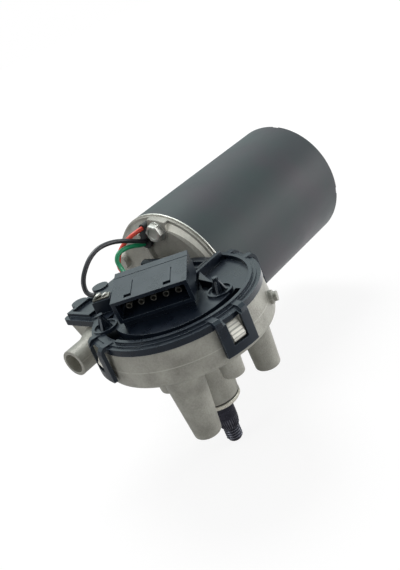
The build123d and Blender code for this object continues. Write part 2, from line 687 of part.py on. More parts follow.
def locating_post(x, y):
    """Pillar with four sloping fins, on a dished round foot with a raised rim."""
    foot = disc(6.3, COVER_Z - 0.4, COVER_Z + 0.4, x, y)
    foot += disc(6.3, COVER_Z, COVER_Z + 1.3, x, y) - disc(5.4, COVER_Z - 1, COVER_Z + 2, x, y)
    fin = make_face(Polyline((-4.2, 0, 0), (4.2, 0, 0), (1.2, 6.4, 0), (-1.2, 6.4, 0), close=True))
    fin = Pos(x, y, COVER_Z) * Rot(0, 0, 20) * Rot(90, 0, 0) * extrude(fin, 0.6, both=True)
    across = Pos(x, y, 0) * Rot(0, 0, 90) * Pos(-x, -y, 0) * fin
    return foot + fin + across + disc(1.4, COVER_Z, COVER_Z + 7.8, x, y)


def lobe_wall(r_out, r_in, z0, z1):
    return disc(r_out, z0, z1) - disc(r_in, z0 - 1, z1 + 1)


def cover():
    """Moulded cover: stepped flange, raised plate, lobe with rim, ribs, posts, tower and clips."""
    plate = cover_plan(0.9, GASKET_Z, RIM_Z + 1.7)
    plate += cover_plan(-1.2, RIM_Z + 1.6, COVER_Z)
    lip = cover_plan(0.9, RIM_Z - 1.6, GASKET_Z + 0.1) - cover_plan(0.4, RIM_Z - 3, RIM_Z + 3)
    body = plate + lip
    # recess round the front and the floor of the lobe
    front = block(-60, 12, -60, 30, 40, 70)
    trough = lobe_wall(39.0, 30.6, TROUGH_Z, RIM_Z + 1.6) & front
    body += trough
    body -= lobe_wall(37.6, 32.0, TROUGH_Z + 1.2, COVER_Z + 1) & block(-58.6, 10.6, -58.6, 28.6, 40, 70)
    rim = lobe_wall(LOBE_R, LOBE_R - 1.8, RIM_Z + 1, COVER_Z + 1.2)
    body += rim & block(-60, 60, -60, 4, 50, 70)
    lobe = disc(LOBE_R - 1.8, RIM_Z + 1.2, COVER_Z + 1) & block(6, 60, -60, -2.0, 50, 70)
    body -= lobe
    body += block(14.0, 38.0, -2.6, -0.8, RIM_Z + 1.2, COVER_Z + 3.4)
    # frame over the park switch opening behind the rib
    frame = block(22.6, JOINT_X + 0.6, 1.5, 14.5, COVER_Z - 1, COVER_Z + 2.4)
    body += frame - block(24.0, JOINT_X - 0.8, 3.0, 13.0, COVER_Z - 0.6, COVER_Z + 5)
    # raised frame on the back pocket, back wall, round ears
    x0, x1, y0, y1 = POCKET
    raised = block(x0 + 1.6, -4.0, 42.0, y1 - 1.6, COVER_Z - 1, COVER_Z + 1.6)
    body += raised - block(x0 + 3.6, -6.0, 44.0, y1 - 3.6, COVER_Z, COVER_Z + 3)
    tab = chamfer(block(26.4, JOINT_X + 0.6, 32.0, 47.0, COVER_Z - 1, 62.8).edges().group_by(Axis.Z)[-1], 1.2)
    body += tab
    for x in (-9.0, 7.0):
        body += disc(4.6, GASKET_Z, COVER_Z + 0.8, x, y1 + 1.4)
    for x, y in POSTS:
        body += locating_post(x, y)
    tower_x, tower_y = TOWER
    tower = extrude(Rectangle(9.6, 7.6), TOWER_Z - COVER_Z + 1)
    body += Pos(tower_x, tower_y, COVER_Z - 1) * Rot(0, 0, CONN_YAW) * tower
    for angle in CLIP_ANGLES:
        body += cover_clip(angle)
    # hollow underneath for the contact fingers
    body -= disc(30.6, RIM_Z - 3, RIM_Z + 1.1)
    # gusset between the connector and the lobe
    gusset = make_face(Polyline((11.5, -8.0, 0), (9.0, -19.0, 0), (18.5, -3.2, 0), close=True))
    body += Pos(0, 0, COVER_Z - 1.6) * extrude(gusset, 4.4)
    return body


def cover_gasket():
    """Flat rubber seal on the rim of the gear housing."""
    return cover_plan(-0.3, RIM_Z, GASKET_Z) - cover_plan(-2.4, RIM_Z - 1, GASKET_Z + 1)


def contact_fingers():
    """Three sprung contact strips that ride on the park disc."""
    z_low = AXIS_Z + WHEEL_FACE / 2 + 0.75
    strips = []
    for x, reach in FINGERS:
        root = -13.0
        strip = block(x - 1.5, x + 1.5, -reach - 1.5, root, z_low, z_low + 0.5)
        strip += block(x - 1.5, x + 1.5, root - 0.5, root, z_low, RIM_Z + 1.1)
        strips.append(strip.solids()[0])
    return Compound(children=strips)


def lead_tab():
    """Tinned tab on the tower where the black lead is welded."""
    x, y = TOWER
    return Pos(x, y, TOWER_Z + 0.4) * Rot(0, 0, CONN_YAW) * Box(8.6, 5.0, 0.8)


PARTS = {
    "gear_housing": gear_housing,
    "cover": cover,
    "cover_gasket": cover_gasket,
    "connector_header": connector_header,
    "connector_pins": connector_pins,
    "contact_fingers": contact_fingers,
    "lead_tab": lead_tab,
    "motor_can": motor_can,
    "rear_end_plate": rear_end_plate,
    "rear_bush": rear_bush,
    "field_magnets": field_magnets,
    "brush_plate": brush_plate,
    "brush_boxes": brush_boxes,
    "brushes": brushes,
    "brush_springs": brush_springs,
    "bearing_outer_race": bearing_outer_race,
    "bearing_balls": bearing_balls,
    "bearing_inner_race": bearing_inner_race,
    "worm_end_bush": worm_end_bush,
    "thrust_ball": thrust_ball,
    "end_stop": end_stop,
    "upper_output_bush": lambda: bush(25.0, 39.0),
    "lower_output_bush": lambda: bush(1.2, 13.0),
    "shaft_seal": shaft_seal,
    "flange_screws": flange_screws,
    "lead_grommet": lead_grommet,
    "armature_shaft": armature_shaft,
    "armature_core": slotted_core,
    "armature_windings": windings,
    "commutator": commutator,
    "worm_wheel": worm_wheel,
    "wheel_hub": wheel_hub,
    "park_contact_ring": park_contact_ring,
    "output_shaft": output_shaft,
    "thrust_washer": thrust_washer,
    "hub_washer": hub_washer,
    "shaft_circlips": shaft_circlips,
    "lead_black": lambda: lead("lead_black", LEAD_BLACK),
    "lead_green": lambda: lead("lead_green", LEAD_GREEN),
    "lead_red": lambda: lead("lead_red", LEAD_RED),
}

os.makedirs("parts", exist_ok=True)
for node, make in PARTS.items():
    export_step(make(), f"parts/{node}.step")
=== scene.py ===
import math

import bmesh
import bpy
from mathutils import Matrix, Vector


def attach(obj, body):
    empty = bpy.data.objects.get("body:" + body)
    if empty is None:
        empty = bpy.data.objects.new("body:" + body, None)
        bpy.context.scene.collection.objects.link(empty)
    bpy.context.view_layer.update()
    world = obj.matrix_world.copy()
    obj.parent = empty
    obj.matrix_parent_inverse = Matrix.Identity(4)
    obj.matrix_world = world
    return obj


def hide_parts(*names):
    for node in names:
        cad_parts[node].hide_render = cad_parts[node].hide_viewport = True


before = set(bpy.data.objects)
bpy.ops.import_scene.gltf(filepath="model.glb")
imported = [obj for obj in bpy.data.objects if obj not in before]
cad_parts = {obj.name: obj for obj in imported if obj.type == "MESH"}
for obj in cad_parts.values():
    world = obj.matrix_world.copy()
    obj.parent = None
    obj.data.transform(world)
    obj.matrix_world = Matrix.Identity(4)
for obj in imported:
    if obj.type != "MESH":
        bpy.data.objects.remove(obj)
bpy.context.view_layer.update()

MM = 0.001

# ---- sizes of the wiper motor, in millimetres, and angles in degrees ----
CENTRE = 43.0                       # armature axis from the output axis, along Y
AXIS_Z = 44.0                       # height of the armature axis
CAN_X0 = 42.5
CAN_LIP = 0.7                       # bare edge where the can was trimmed
SEAM_Z = 45.4                       # parting line of the casting
SEAM_HALF = 0.35
CLIP_ANGLES = (-105, -15, 158.5)
HOOK_R, HOOK_Z = 45.8, 49.4         # middle of each hook
HOOK_STEP = 1.7                     # mould steps on a hook's face
CONE_R = (32.3, 36.5)               # turned cone inside the motor flange
CONE_X = (37.8, 41.0)
CONE_LOW = 4.0                      # painted highlight on the cone from here up, above the armature axis
CONE_TAPER = 0.07                   # runs the inner edge of the painted crescent out to the rim
NECK_SHADE_Z = -0.1                        # painted shadow on the neck below this height, in the gap above the collar

SPINDLE_R = 6.0
SPINDLE_TIP_Z = -29.9
GROOVE_R = 5.5                      # bottom of the circlip grooves
SPINDLE_TOP = (                     # height and radius above the neck's mouth
    (-3.2, SPINDLE_R), (-3.1, GROOVE_R), (-2.0, GROOVE_R), (-1.9, SPINDLE_R),
    (48.9, SPINDLE_R), (49.0, GROOVE_R), (49.9, GROOVE_R), (50.0, SPINDLE_R),
    (50.2, SPINDLE_R), (50.9, 5.2), (51.0, 0.0))
SERRATIONS = 30
SERRATED_Z = (-20.5, -14.2)
SERRATION_DEPTH = 0.42
THREAD_R = 4.45
THREAD_PITCH = 1.5
THREAD_DEPTH = 0.6
THREAD_TOP_Z = -20.9
RING_STEP = 0.13                    # height of one ring of faces along the thread

SCREW_R = 31.8                      # pitch circle round the armature axis
SCREW_ANGLES = (102, 282)
SCREW_SEAT_X = 37.6
SCREW_TURN = 12
HEAD_ROWS = (                       # depth from the seat, radius, and 1 where it is a hexagon
    (0.0, 5.5, 0), (-0.5, 5.5, 0), (-0.75, 5.2, 0), (-0.75, 4.5, 1), (-3.85, 4.5, 1),
    (-4.2, 4.2, 0), (-4.2, 3.1, 0), (-3.8, 2.9, 0), (-3.6, 0.9, 0))
HEAD_SIDES = 36

WELD_BEADS = ((-13.6, 38.2, 66.9, 1.6), (-11.4, 35.6, 66.3, 1.3))   # place and radius

LEAD_D = 2.5
LEADS = {                           # cut length, finish, slot and route of each lead
    "lead_black": (65.9, "pvc_black", "black_insulation", (
        (35.6, 45.7, 70.4), (30.4, 45.7, 73.0), (23.5, 45.6, 77.5), (14.0, 45.4, 82.2),
        (4.6, 45.3, 84.2), (-2.8, 45.3, 82.8), (-8.6, 45.2, 79.4), (-12.6, 45.0, 75.8),
        (-14.6, 44.6, 72.0), (-15.6, 42.8, 68.3), (-14.4, 39.0, 67.25))),
    "lead_green": (48.1, "pvc_green", "green_insulation", (
        (35.6, 48.4, 68.6), (31.8, 48.0, 69.8), (27.0, 47.0, 72.4), (20.4, 45.9, 74.6),
        (14.4, 45.5, 75.0), (11.2, 45.2, 72.2), (10.2, 43.0, 68.9), (7.6, 38.4, 66.6),
        (4.8, 33.6, 63.6), (4.0, 31.6, 58.2))),
    "lead_red": (45.4, "pvc_red", "red_insulation", (
        (35.6, 44.8, 78.2), (31.4, 45.6, 78.2), (26.2, 48.2, 77.0), (20.6, 50.0, 74.2),
        (16.2, 50.0, 70.4), (13.0, 48.0, 66.9), (11.2, 43.8, 64.7), (10.2, 38.8, 63.4),
        (9.4, 35.4, 61.4), (9.2, 33.4, 58.2))),
}

# ---- the studio, in metres and watts ----
LENS_MM = 48.198
SENSOR_MM = 36.0
CAMERA_PLACE = (-0.214937, -0.259830, 0.203084)
CAMERA_RIGHT = (0.584482, -0.729122, -0.356035)
CAMERA_UP = (0.530511, 0.011381, 0.847602)
CAMERA_BACK = (-0.613953, -0.684288, 0.393460)
LAMPS = (                           # name, place, width of the disc, power
    ("right", (0.80, -0.62, 0.0), 0.9, 7.6),
    ("left", (-0.75, 0.35, 0.40), 0.5, 1.7),
    ("front", (0.12, -0.95, -0.02), 0.5, 2.6),
    ("top", (0.28, 0.32, 0.92), 0.5, 5.4),
)
LAMPS_AIM = (0.04, 0.02, 0.04)
TENT_LIGHT = 0.42                   # plain level of the soft light from all round
TENT_AIM = (0.35, 0.38, 0.90)       # towards the brightest side of the tent, as parts mirror it
TENT_SPAN = (-0.25, 0.95)
TENT_CURVE = 1.8
TENT_DIM = 0.05
TENT_BRIGHT = (1.15, 1.32, 1.31, 1.0)
FLOOR_HALF = 3.0
FLOOR_DROP = 0.2 * MM               # below the spindle's tip
FLOOR_TONE = 0.8
TABLE_LEVEL = 0.28                  # dark table in front, as parts mirror it
CARD_LEVEL = 1.5                    # white card under the can, as parts mirror it
CARD_X = (0.04, 0.14)
CARD_Y = (0.20, 0.10)
PAPER_REACH = (0.35, 0.9)           # the paper's own glow rises over this distance
PAPER_GLOW = (1.06, 1.24)
PAPER_SHARE = 0.82
MIRROR_SHARE = 0.8

# ---- kinds of node that come up often ----
MATH = "ShaderNodeMath"
VECTOR_MATH = "ShaderNodeVectorMath"
MIX = "ShaderNodeMix"
RAMP = "ShaderNodeValToRGB"
NOISE = "ShaderNodeTexNoise"
SPAN = "ShaderNodeMapRange"
AXES = "ShaderNodeSeparateXYZ"


# ---- small helpers ----
def colour(code):
    """Linear RGBA from a web colour."""
    out = []
    for i in (1, 3, 5):
        c = int(code[i:i + 2], 16) / 255
        out.append(c / 12.92 if c <= 0.04045 else ((c + 0.055) / 1.055) ** 2.4)
    return (*out, 1.0)


def grey(value):
    return (value, value, value, 1.0)


BLACK, WHITE = grey(0.0), grey(1.0)


def feed(tree, node, inputs):
    """Fill a node's inputs, by name from a dict or in turn from a tuple.

    Each is a plain value, a socket, or a node, which stands for its first live output.
    """
    if not isinstance(inputs, dict):
        live = [i for i, socket in enumerate(node.inputs) if socket.enabled]
        inputs = dict(zip(live, inputs))
    for key, value in inputs.items():
        if isinstance(value, bpy.types.Node):
            value = next(socket for socket in value.outputs if socket.enabled)
        if isinstance(value, bpy.types.NodeSocket):
            tree.links.new(value, node.inputs[key])
        else:
            node.inputs[key].default_value = value


def add(tree, kind, inputs=(), stops=(), **settings):
    """One node with its settings, its ramp's stops and its links."""
    node = tree.nodes.new(kind)
    for key, value in settings.items():
        setattr(node, key, value)
    if stops:
        elements = node.color_ramp.elements
        while len(elements) < len(stops):
            elements.new(0.5)
        for element, (position, tone) in zip(elements, stops):
            element.position = position
            element.color = tone
    feed(tree, node, inputs)
    return node


def new_material(name):
    material = bpy.data.materials.new(name)
    material.use_nodes = True
    return material, material.node_tree, material.node_tree.nodes["Principled BSDF"]


def blotches(place, size_mm, detail=3.0):
    """Inputs of a noise whose blotches are about size_mm across."""
    return {"Vector": place, "Scale": 1000 / size_mm, "Detail": detail, "Roughness": 0.55}


def product(tree, *factors):
    """All the factors multiplied together."""
    total = factors[0]
    for factor in factors[1:]:
        total = add(tree, MATH, (total, factor), operation="MULTIPLY")
    return total


def between(tree, value, low, high):
    """1 where the value lies between low and high, else 0."""
    return product(tree, add(tree, MATH, (value, low), operation="GREATER_THAN"),
                   add(tree, MATH, (value, high), operation="LESS_THAN"))


def reach(tree, first, second):
    """Distance from an axis, from the two coordinates across it."""
    squares = [product(tree, side, side) for side in (first, second)]
    return add(tree, MATH, (add(tree, MATH, squares, operation="ADD"),), operation="SQRT")


def edge_mask(tree, radius_mm):
    """1 on rounded edges, 0 on flats, from the softened normal."""
    soft = add(tree, "ShaderNodeBevel", {"Radius": radius_mm * MM}, samples=4)
    flat = add(tree, "ShaderNodeNewGeometry").outputs["Normal"]
    facing = add(tree, VECTOR_MATH, (soft, flat), operation="DOT_PRODUCT")
    return add(tree, RAMP, (facing,), stops=((0.80, WHITE), (0.985, BLACK)))


def relief(tree, edge_mm, layers):
    """Normal with soft edges, then bumps: layers are (height, depth in mm)."""
    normal = add(tree, "ShaderNodeBevel", {"Radius": edge_mm * MM}, samples=4)
    for height, depth_mm in layers:
        normal = add(tree, "ShaderNodeBump", {"Strength": 1.0, "Distance": depth_mm * MM,
                                              "Height": height, "Normal": normal})
    return normal


def solid(name, light, dark, metallic, rough, blotch_mm, grain_mm, depth_mm, edge_mm=0.3,
          edge_wear_and_highlight=None):
    """Common finish: two tones in soft blotches, a grain in the relief, edges maybe painted
    paler, as rubbed wear and a painted highlight.
    """
    material, tree, shader = new_material(name)
    place = add(tree, "ShaderNodeTexCoord", name="place").outputs["Object"]
    dark, light = colour(dark), colour(light)
    blotch = add(tree, NOISE, blotches(place, blotch_mm, 4.0))
    grain = add(tree, NOISE, blotches(place, grain_mm))
    tone = add(tree, RAMP, (blotch,), stops=((0.30, dark), (0.70, light)))
    fine = add(tree, RAMP, (grain,), stops=((0.25, dark), (0.75, light)))
    tone = add(tree, MIX, (0.35, tone, fine), data_type="RGBA")
    # edges painted paler: partly rubbed wear, partly a painted highlight
    if edge_wear_and_highlight:
        rubbed_and_highlit = product(tree, edge_mask(tree, edge_mm * 1.4), 0.55)
        tone = add(tree, MIX, (rubbed_and_highlit, tone, colour(edge_wear_and_highlight)), data_type="RGBA")
    gloss = add(tree, RAMP, (blotch,), stops=((0.25, grey(rough - 0.06)),
                                              (0.75, grey(rough + 0.06))))
    normal = relief(tree, edge_mm, ((grain, depth_mm), (blotch, depth_mm * 1.5)))
    feed(tree, shader, {"Base Color": tone, "Roughness": gloss, "Metallic": metallic,
                        "Normal": normal})
    return material


def opened(material):
    """What more work on a finish needs: tree, shader, object coordinates and present tone."""
    tree = material.node_tree
    shader = tree.nodes["Principled BSDF"]
    tone = shader.inputs["Base Color"].links[0].from_socket
    return tree, shader, tree.nodes["place"].outputs["Object"], tone


# ---- finishes ----
# Die cast aluminium, bead blasted: pale warm grey with even fine pits, a parting line round
# the casting, edges and hooks rubbed bright with a painted highlight, a painted highlight on a
# crescent of the turned cone, and a painted shadow in the gap at the neck.
def cast_aluminium():
    material = solid("cast_aluminium_bead_blasted", "#aeada4", "#7f7e76", 0.20, 0.44,
                     11.0, 0.85, 0.20, edge_mm=0.6, edge_wear_and_highlight="#dddcd4")
    tree, shader, place, tone = opened(material)
    axis = add(tree, AXES, (place,)).outputs
    # a fine pale line round the wheel chamber, broken here and there, where the die halves meet
    seam = add(tree, MATH, (axis["Z"], SEAM_Z * MM), operation="SUBTRACT")
    seam = add(tree, MATH, (seam,), operation="ABSOLUTE")
    seam = add(tree, MATH, (seam, SEAM_HALF * MM), operation="DIVIDE")
    seam = add(tree, RAMP, (seam,), stops=((0.2, WHITE), (1.0, BLACK)))
    broken = add(tree, NOISE, blotches(place, 9.0))
    broken = add(tree, RAMP, (broken,), stops=((0.36, BLACK), (0.44, WHITE)))
    bare = product(tree, seam, broken, 0.4)
    # each hook is rubbed bright by its clip and carries a painted glint: 4.0 mm round its
    # middle, fading out at 5.6 mm
    for angle in CLIP_ANGLES:
        a = math.radians(angle)
        hook = (HOOK_R * math.cos(a) * MM, HOOK_R * math.sin(a) * MM, HOOK_Z * MM)
        far = add(tree, VECTOR_MATH, (place, hook), operation="DISTANCE")
        rubbed_and_highlit = add(tree, RAMP, (product(tree, far, 0.1 / MM),),
                     stops=((0.40, grey(0.9)), (0.56, BLACK)))
        bare = add(tree, MATH, (bare, rubbed_and_highlit), operation="MAXIMUM")
    # painted shade and highlight: the mould's steps on the rubbed faces show as darker lines
    # between bright bands
    step = add(tree, MATH, (product(tree, axis["Z"], 1 / (HOOK_STEP * MM)),), operation="FRACT")
    steps = add(tree, RAMP, (step,), stops=((0.60, colour("#f0eee4")), (0.72, colour("#b5b4ac")),
                                            (0.9, colour("#b5b4ac"))))
    tone = add(tree, MIX, (bare, tone, steps), data_type="RGBA")
    # painted highlight: a crescent of the turned cone inside the motor flange, facing up, is
    # painted bright where light falls on it
    out_y = add(tree, MATH, (axis["Y"], CENTRE * MM), operation="SUBTRACT")
    out_z = add(tree, MATH, (axis["Z"], AXIS_Z * MM), operation="SUBTRACT")
    outer = reach(tree, out_y, out_z)
    inner = add(tree, MATH, (outer, product(tree, out_y, CONE_TAPER)), operation="ADD")
    cloudy = add(tree, NOISE, blotches(place, 6.0))
    lit_crescent = product(
        tree,
        add(tree, MATH, (inner, CONE_R[0] * MM), operation="GREATER_THAN"),
        add(tree, MATH, (outer, CONE_R[1] * MM), operation="LESS_THAN"),
        between(tree, axis["X"], CONE_X[0] * MM, CONE_X[1] * MM),
        add(tree, MATH, (out_z, CONE_LOW * MM), operation="GREATER_THAN"),
        add(tree, MATH, (out_y, 0.0), operation="LESS_THAN"),
        add(tree, RAMP, (cloudy,), stops=((0.3, grey(0.65)), (0.6, grey(0.95)))))
    tone = add(tree, MIX, (lit_crescent, tone, colour("#f6f4e8")), data_type="RGBA")
    # painted shadow: the bottom of the neck is painted dark, as the shade in the gap above the
    # collar
    neck_gap_shade = add(tree, MATH, (axis["Z"], NECK_SHADE_Z * MM), operation="LESS_THAN")
    tone = add(tree, MIX, (neck_gap_shade, tone, colour("#23221f")), data_type="RGBA")
    feed(tree, shader, {"Base Color": tone})
    return material


# Glass filled nylon, injection moulded: near black, faint texture, edges painted a little paler
# as a highlight.
def glass_filled_nylon():
    material = solid("glass_filled_nylon_moulded", "#161e2a", "#0e141d", 0.0, 0.29,
                     7.0, 0.35, 0.004, edge_mm=0.35, edge_wear_and_highlight="#5e6a75")
    tree, shader, *_ = opened(material)
    feed(tree, shader, {"Specular IOR Level": 0.5, "Specular Tint": (0.88, 0.96, 1.0, 1.0)})
    return material


# Drawn steel, sprayed satin black: faint orange peel, bare bright lip where the can was trimmed.
def satin_black_can():
    material = solid("drawn_steel_satin_black_spray", "#3e444a", "#343a40", 0.0, 0.50,
                     22.0, 0.9, 0.010, edge_mm=0.5)
    tree, shader, place, tone = opened(material)
    # thin and thick spray, a little green or brown in the light
    cast = add(tree, NOISE, blotches(place, 38.0, 2.0))
    cast = add(tree, RAMP, (cast,), stops=((0.35, colour("#36433f")), (0.65, colour("#443d41"))))
    paint = add(tree, MIX, (0.5, tone, cast), data_type="RGBA")
    axis = add(tree, AXES, (place,)).outputs
    lip = add(tree, MATH, (axis["X"], (CAN_X0 + CAN_LIP) * MM), operation="LESS_THAN")
    tone = add(tree, MIX, (lip, paint, colour("#d9d7d0")), data_type="RGBA")
    feed(tree, shader, {"Base Color": tone, "Metallic": lip, "Specular IOR Level": 0.28})
    return material


# Steel bar, black oxide with an oil film: blue-black, silvery on the crests of serrations
# and thread.
def black_oxide():
    material = solid("steel_bar_black_oxide_oiled", "#3a3a46", "#22222b", 0.5, 0.26,
                     3.0, 0.4, 0.02, edge_mm=0.12)
    tree, shader, place, tone = opened(material)
    axis = add(tree, AXES, (place,)).outputs
    # one tooth goes from 0 to 1, with its crest at a half
    turn = add(tree, MATH, (axis["Y"], axis["X"]), operation="ARCTAN2")
    turn = add(tree, MATH, (turn, 2 * math.pi), operation="DIVIDE")
    tooth = add(tree, MATH, (product(tree, turn, SERRATIONS),), operation="FRACT")
    off_crest = add(tree, MATH, (tooth, 0.5), operation="SUBTRACT")
    off_crest = add(tree, MATH, (off_crest,), operation="ABSOLUTE")
    crest = add(tree, RAMP, (off_crest,), stops=((0.05, WHITE), (0.2, BLACK)))
    patchy = add(tree, NOISE, blotches(place, 2.5))
    patchy = add(tree, RAMP, (patchy,), stops=((0.35, grey(0.15)), (0.65, grey(0.65))))
    low, high = SERRATED_Z
    serrated = product(tree, crest, between(tree, axis["Z"], low * MM, high * MM), patchy)
    # the radius, in centimetres here, tells the thread's bare crest from its groove
    radius = product(tree, reach(tree, axis["X"], axis["Y"]), 0.1 / MM)
    ridge = add(tree, RAMP, (radius,), stops=((THREAD_R / 10 - 0.024, BLACK),
                                              (THREAD_R / 10 - 0.004, WHITE)))
    below = add(tree, MATH, (axis["Z"], THREAD_TOP_Z * MM), operation="LESS_THAN")
    threaded = product(tree, ridge, below, 0.8)
    bare = add(tree, MATH, (serrated, threaded), operation="MAXIMUM")
    tone = add(tree, MIX, (bare, tone, colour("#9a9ba6")), data_type="RGBA")
    feed(tree, shader, {"Base Color": tone})
    return material


# Each plain finish gives its name, light and dark tone, metallic, roughness, then the size of
# its blotches, the size of its grain and the depth of its relief in millimetres.
MATERIALS = {
    "cast_aluminium": cast_aluminium(),
    "nylon": glass_filled_nylon(),
    "can_paint": satin_black_can(),
    "black_oxide": black_oxide(),
    # Cold headed steel, bright zinc plate: cool silver with a soft milky film.
    "zinc": solid("cold_headed_steel_bright_zinc", "#d2d2cc", "#b4b4ae", 0.70, 0.33,
                  4.0, 0.8, 0.002, edge_mm=0.12, edge_wear_and_highlight="#f4f4f0"),
    # Sheet steel pressing, hot dip galvanised: dull even grey.
    "galvanised": solid("steel_sheet_galvanised_pressed", "#8f908c", "#72736f", 0.35, 0.50,
                        16.0, 0.9, 0.02, edge_mm=0.4, edge_wear_and_highlight="#b4b5b0"),
    # Steel pressing, nickel plated: warm silver.
    "nickel": solid("steel_pressing_nickel_plated", "#f0ecde", "#d6d2c4", 0.6, 0.28,
                    3.0, 0.4, 0.01, edge_mm=0.2, edge_wear_and_highlight="#f6f4ea"),
    # Chromium bearing steel, ground: bright neutral silver.
    "ground_steel": solid("bearing_steel_ground", "#c9cacb", "#a9abad", 1.0, 0.22,
                          5.0, 0.25, 0.005),
    # Bronze powder, pressed and sintered, holding oil: dull brown gold.
    "sintered": solid("bronze_powder_sintered_oiled", "#a9814f", "#7a5a34", 0.8, 0.45,
                      2.0, 0.25, 0.03),
    # Tin bronze strip, rolled and stamped: smooth orange gold.
    "bronze_strip": solid("tin_bronze_strip_rolled", "#c99a62", "#a97a46", 1.0, 0.3,
                          6.0, 0.3, 0.006),
    # Brass strip, tin plated: soft silver with a warm cast.
    "tinned": solid("brass_strip_tin_plated", "#aaa79e", "#85827a", 0.95, 0.34,
                    2.0, 0.2, 0.01),
    # Nitrile rubber, moulded: dead black with a faint bloom.
    "rubber": solid("nitrile_rubber_moulded", "#26272a", "#17181a", 0.0, 0.6, 3.0, 0.3, 0.02),
    # Acetal, moulded, natural colour: milky cream.
    "acetal": solid("acetal_natural_moulded", "#e2ddcf", "#cfc9b8", 0.0, 0.38, 6.0, 0.4, 0.008),
    # Paper phenolic board, pressed: satin brown.
    "phenolic": solid("paper_phenolic_pressed", "#6f472b", "#50311c", 0.0, 0.5, 3.0, 0.4, 0.01),
    # Strontium ferrite, sintered and ground: matt charcoal.
    "ferrite": solid("strontium_ferrite_ground", "#3a3a3c", "#29292b", 0.1, 0.55,
                     5.0, 0.3, 0.015),
    # Electrical sheet steel, stamped and stacked: plain steel grey.
    "laminations": solid("electrical_sheet_stacked", "#7d7f82", "#5e6063", 0.9, 0.42,
                         4.0, 0.5, 0.03),
    # Copper, turned on the commutator: bright pink copper.
    "copper": solid("commutator_copper_turned", "#c87f5a", "#a3603e", 1.0, 0.28,
                    4.0, 0.2, 0.006),
    # Copper wire, enamelled, wound and dipped: glossy red brown.
    "enamelled": solid("copper_wire_enamelled_dipped", "#a4532a", "#6f3517", 0.6, 0.3,
                       1.2, 0.9, 0.12),
    # Carbon graphite, pressed: soft black.
    "graphite": solid("carbon_graphite_pressed", "#2f2f31", "#1c1c1e", 0.1, 0.5,
                      2.0, 0.25, 0.02),
    # Plasticised PVC, extruded over the strands, in three plain satin colours.
    "pvc_black": solid("pvc_sleeve_extruded_black", "#2c2c31", "#202024", 0.0, 0.38,
                       6.0, 0.5, 0.01),
    "pvc_green": solid("pvc_sleeve_extruded_green", "#1e9c6a", "#168055", 0.0, 0.4,
                       6.0, 0.5, 0.01),
    "pvc_red": solid("pvc_sleeve_extruded_red", "#e44a35", "#c93a29", 0.0, 0.4, 6.0, 0.5, 0.01),
    # Weld metal, frozen as a bead: dull silver.
    "weld": solid("weld_metal_frozen", "#b9b7b2", "#85837d", 0.9, 0.4, 0.8, 0.25, 0.05),
}

NODES_OF_FINISH = {
    "cast_aluminium": ("gear_housing",),
    "nylon": ("cover", "connector_header"),
    "can_paint": ("motor_can",),
    "black_oxide": ("output_shaft", "shaft_circlips"),
    "zinc": ("flange_screws", "brush_springs"),
    "galvanised": ("rear_end_plate",),
    "nickel": ("thrust_washer",),
    "ground_steel": ("bearing_outer_race", "bearing_balls", "bearing_inner_race", "thrust_ball",
                     "armature_shaft", "wheel_hub", "hub_washer"),
    "sintered": ("rear_bush", "worm_end_bush", "upper_output_bush", "lower_output_bush"),
    "bronze_strip": ("contact_fingers", "park_contact_ring"),
    "tinned": ("connector_pins", "lead_tab", "brush_boxes"),
    "rubber": ("cover_gasket", "shaft_seal", "lead_grommet"),
    "acetal": ("end_stop", "worm_wheel"),
    "phenolic": ("brush_plate",),
    "ferrite": ("field_magnets",),
    "laminations": ("armature_core",),
    "copper": ("commutator",),
    "enamelled": ("armature_windings",),
    "graphite": ("brushes",),
    "pvc_black": ("lead_black",),
    "pvc_green": ("lead_green",),
    "pvc_red": ("lead_red",),
}


def dress_nodes():
    """Every node of the frame gets its own finish."""
    for finish, names in NODES_OF_FINISH.items():
        for name in names:
            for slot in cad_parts[name].material_slots:
                slot.material = MATERIALS[finish]


# ---- pieces ----
def place_piece(name, mesh, finish, body, node=None):
    """Put a finished mesh in the scene, riding on its body."""
    piece = bpy.data.objects.new(name, mesh)
    bpy.context.scene.collection.objects.link(piece)
    mesh.materials.clear()
    mesh.materials.append(MATERIALS[finish])
    mesh.shade_smooth()
    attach(piece, body)
    if node:
        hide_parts(node)
    return piece


def mesh_from(name, build):
    """Mesh of a bmesh that build fills, with its faces turned outwards."""
    bm = bmesh.new()
    build(bm)
    bmesh.ops.recalc_face_normals(bm, faces=bm.faces)
    mesh = bpy.data.meshes.new(name)
    bm.to_mesh(mesh)
    bm.free()
    return mesh


def skin(bm, rings):
    """Close a stack of rings of vertices into a solid."""
    for low, high in zip(rings, rings[1:]):
        for i in range(len(low)):
            j = (i + 1) % len(low)
            bm.faces.new((low[i], low[j], high[j], high[i]))
    bm.faces.new(rings[0])
    bm.faces.new(rings[-1])


def lead_piece(name, finish, points):
    """One insulated lead on a smooth line through the air."""
    curve = bpy.data.curves.new(name, "CURVE")
    curve.dimensions = "3D"
    curve.resolution_u = 10
    curve.bevel_depth = LEAD_D / 2 * MM
    curve.bevel_resolution = 5
    curve.use_fill_caps = True
    spline = curve.splines.new("NURBS")
    spline.points.add(len(points) - 1)
    for point, (x, y, z) in zip(spline.points, points):
        point.co = (x * MM, y * MM, z * MM, 1.0)
    spline.order_u = 3
    spline.use_endpoint_u = True
    curve.materials.append(MATERIALS[finish])
    piece = bpy.data.objects.new(name + "_sleeve", curve)
    bpy.context.scene.collection.objects.link(piece)
    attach(piece, "housing")
    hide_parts(name)


